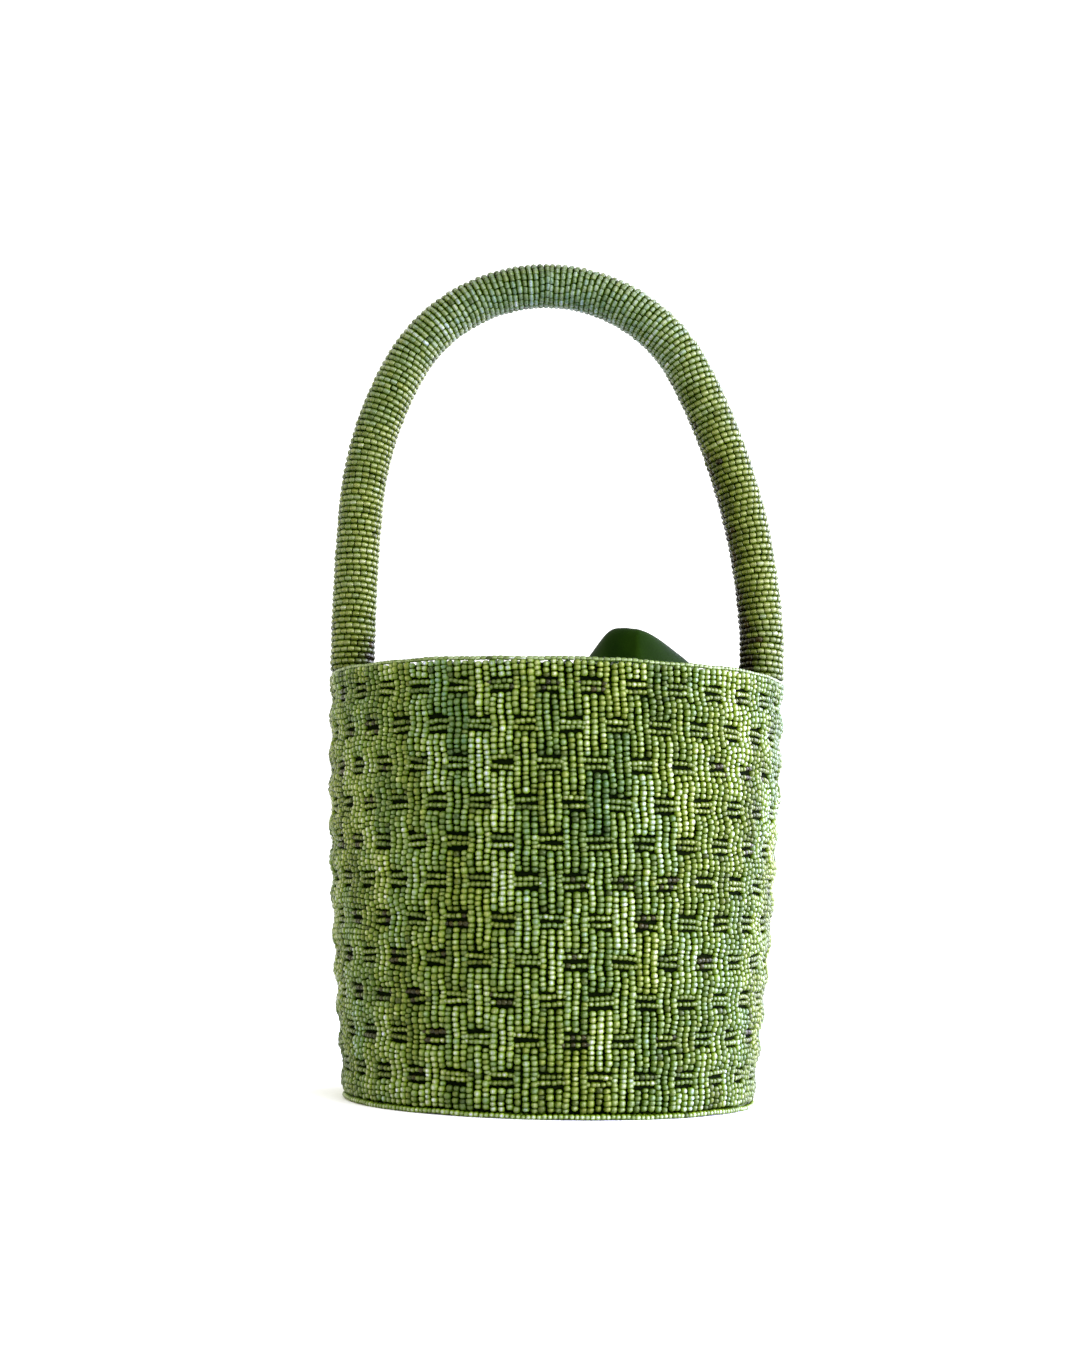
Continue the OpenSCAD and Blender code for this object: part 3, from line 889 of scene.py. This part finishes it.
def rim_tape():
    """Satin tape folded over the top of the side: it runs in from the edge beads and down inside."""
    low, high = BINDING
    outer, inner = high.x, COLLAR_R + 0.9 * MM
    tug = 0.12 * MM * (1 + np.sin(90 * TURNS))
    path = [
        (outer, high.z - 0.5 * MM), (outer - 0.3 * MM, high.z - 0.15 * MM),
        (outer - 1.2 * MM, high.z), ((outer + inner) / 2, high.z - 0.05 * MM), (inner + 1.0 * MM, high.z),
        (inner + 0.25 * MM, high.z - 0.2 * MM), (inner, high.z - 1.0 * MM),
        (inner, high.z - 3 * MM), (inner, low.z + 0.2 * MM),
    ]
    on_top = (2, 3, 4)
    rows = [ring(r, z, tug * (1.0 if k in on_top else 0.3)) for k, (r, z) in enumerate(path)]
    made = sheet_grid("rim_binding_tape", rows, satin_shade)
    made.modifiers.new("round", "SUBSURF").levels = 1
    made.modifiers["round"].render_levels = 1
    return made


wall_sheet, base_sheet, tape = wall_lining_sheet(), base_lining_sheet(), rim_tape()
for piece, slot_name, stands_for in (
    (wall_sheet, "satin_green", "wall_lining"),
    (base_sheet, "satin_green", "base_lining"),
    (tape, "satin_dark", "rim_binding"),
):
    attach(piece, "bag")
    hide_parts(stands_for)


def stitches(name, radius, z, pitch, length):
    """A row of hand stitches round the inside, each a short thread that stands proud of the cloth."""
    n = round(2 * math.pi * radius / pitch)
    strand = Strand()
    turn = np.arange(n) * 2 * math.pi / n
    place = np.stack([radius * np.cos(turn), radius * np.sin(turn), z + rng.normal(0, 0.1 * MM, n)], -1)
    along = np.stack([-np.sin(turn), np.cos(turn), rng.normal(0, 0.12, n)], -1)
    inward = -np.stack([np.cos(turn), np.sin(turn), 0 * turn], -1)
    strand.add(place, unit(along), inward, 0.28 * MM, length / 2, 0.5)
    return bead_object(name, strand.beads(), "bag", thread, PLAIN_BEAD)


stitch_r = (BINDING[1].x + COLLAR_R) / 2 + 1.5 * MM
stitches("binding_stitches", stitch_r, BINDING[1].z + 0.05 * MM, 3.2 * MM, 2.0 * MM)


# ---------------------------------------------------------------- CAD nodes that stay

def dress(name, look):
    """Gives a CAD node its material."""
    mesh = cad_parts[name].data
    mesh.materials.clear()
    mesh.materials.append(look)


for names, look in (
    (("wall_backing", "base_backing"), canvas),
    (("wall_board", "base_board"), board),
    (("tab_stitching",), thread),
    (("handle_tab_left", "handle_tab_right", "handle_strap_left", "handle_strap_right"), webbing),
    (("handle_core",), core_plastic),
    (("handle_padding",), wadding),
):
    for name in names:
        dress(name, look)


# ---------------------------------------------------------------- stage, light and camera

def floor():
    """A wide, pale floor."""
    made, tree, shader = material("floor_paint")
    speckle = noise(tree, object_coords(tree), 400, 3)
    tree.links.new(ramp(tree, speckle, [(0.3, (0.80,) * 3), (0.7, (0.83,) * 3)]), shader.inputs["Base Color"])
    shader.inputs["Roughness"].default_value = 0.7
    size = 3.0
    corners = [(-size, -size, 0), (size, -size, 0), (size, size, 0), (-size, size, 0)]
    plane = mesh_object("floor", corners, [(0, 1, 2, 3)], False)
    plane.data.materials.append(made)


def area_light(name, place, target, size, power, colour=(1, 1, 1)):
    """A soft light at place that faces target, with its width and height in size."""
    data = bpy.data.lights.new(name, "AREA")
    data.shape = "RECTANGLE"
    data.size, data.size_y = size
    data.energy = power
    data.color = colour
    lamp = bpy.data.objects.new(name, data)
    lamp.location = place
    lamp.rotation_euler = (Vector(target) - Vector(place)).to_track_quat("-Z", "Y").to_euler()
    bpy.context.scene.collection.objects.link(lamp)


def studio(dark, bright):
    """Even light from a studio whose pale backdrop stands behind the object and to its right."""
    world = bpy.data.worlds.new("studio")
    world.use_nodes = True
    tree = world.node_tree
    coords = tree.nodes.new("ShaderNodeTexCoord")
    towards = tree.nodes.new("ShaderNodeVectorMath")
    towards.operation = "DOT_PRODUCT"
    towards.inputs[1].default_value = Vector((0.45, 0.75, 0.48)).normalized()
    tree.links.new(coords.outputs["Generated"], towards.inputs[0])
    level = node(tree, "ShaderNodeMapRange", From_Min=-0.7, From_Max=0.55)
    tree.links.new(towards.outputs["Value"], level.inputs["Value"])
    shade = ramp(tree, level.outputs["Result"], [(0.0, (dark,) * 3), (1.0, (bright,) * 3)], "EASE")
    tree.links.new(shade, tree.nodes["Background"].inputs["Color"])
    bpy.context.scene.world = world


floor()
studio(0.3, 1.6)
middle = (0, 0, RIM_Z * 0.8)
area_light("key", (1.0, -0.8, 0.35), middle, (1.8, 1.2), 42, (0.97, 0.96, 1.45))
area_light("right_window", (1.3, 0.2, 0.35), middle, (2.4, 1.6), 104, (0.97, 0.96, 1.5))
area_light("left_fill", (-1.2, 0.0, 0.4), middle, (0.8, 0.8), 6, (1.1, 1.0, 0.4))
area_light("overhead_strip", (0.1, -1.0, 1.35), middle, (2.0, 0.3), 20)
bpy.context.scene.view_settings.view_transform = "Standard"

camera = bpy.data.objects.new("camera", bpy.data.cameras.new("camera"))
camera.data.sensor_width = 36
camera.data.lens = 56.3
camera.data.clip_start = 0.01
camera.location = (-0.0065, -0.7588, 0.0702)
CAMERA_TILT = math.radians(5.73)    # upwards from level
CAMERA_ROLL = math.radians(1.2)
turned = Matrix.Rotation(math.pi / 2 + CAMERA_TILT, 3, "X") @ Matrix.Rotation(CAMERA_ROLL, 3, "Z")
camera.rotation_euler = turned.to_euler()
bpy.context.scene.collection.objects.link(camera)
bpy.context.scene.camera = camera
